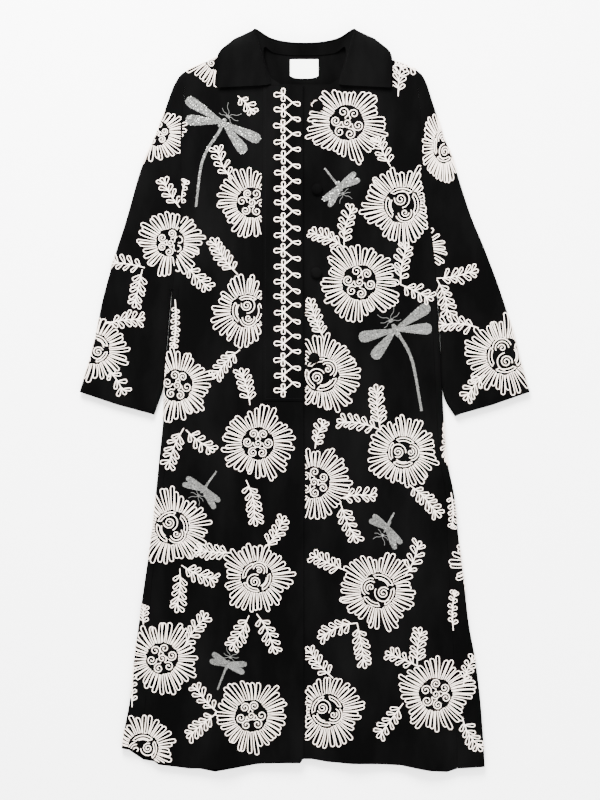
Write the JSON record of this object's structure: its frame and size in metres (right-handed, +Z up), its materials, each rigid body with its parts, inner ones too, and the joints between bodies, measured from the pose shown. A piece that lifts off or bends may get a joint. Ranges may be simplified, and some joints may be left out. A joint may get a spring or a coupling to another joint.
{
  "type": "long coat",
  "caption": "Long velvet coat laid flat, front up, with a spread collar, corded flower embroidery, a looped braid band, covered buttons and open hem, cuffs and neck.",
  "frame": {"origin": "middle of the coat's outline on the surface that it lies on, under the back panel", "axes": "+Z up out of the front of the coat, +Y from hem to collar, +X towards the wearer's left side"},
  "size_m": [0.809, 1.334, 0.0285],
  "materials": {
    "velvet": "deep-pile black cotton velvet, matt with a soft nap sheen",
    "cord": "off-white twisted cotton cord, matt",
    "covered_button": "buttons covered in the coat's black velvet",
    "label": "plain off-white woven satin label"
  },
  "bodies": {
    "root": {"back": "velvet", "button_1": "covered_button", "button_2": "covered_button", "button_3": "covered_button", "button_4": "covered_button", "collar": "velvet", "front_band": "velvet", "front_braid": "cord", "front_left": "velvet", "front_right": "velvet", "neck_label": "label", "sleeve_left_under": "velvet", "sleeve_left_upper": "velvet", "sleeve_right_under": "velvet", "sleeve_right_upper": "velvet"}
  },
  "joints": []
}
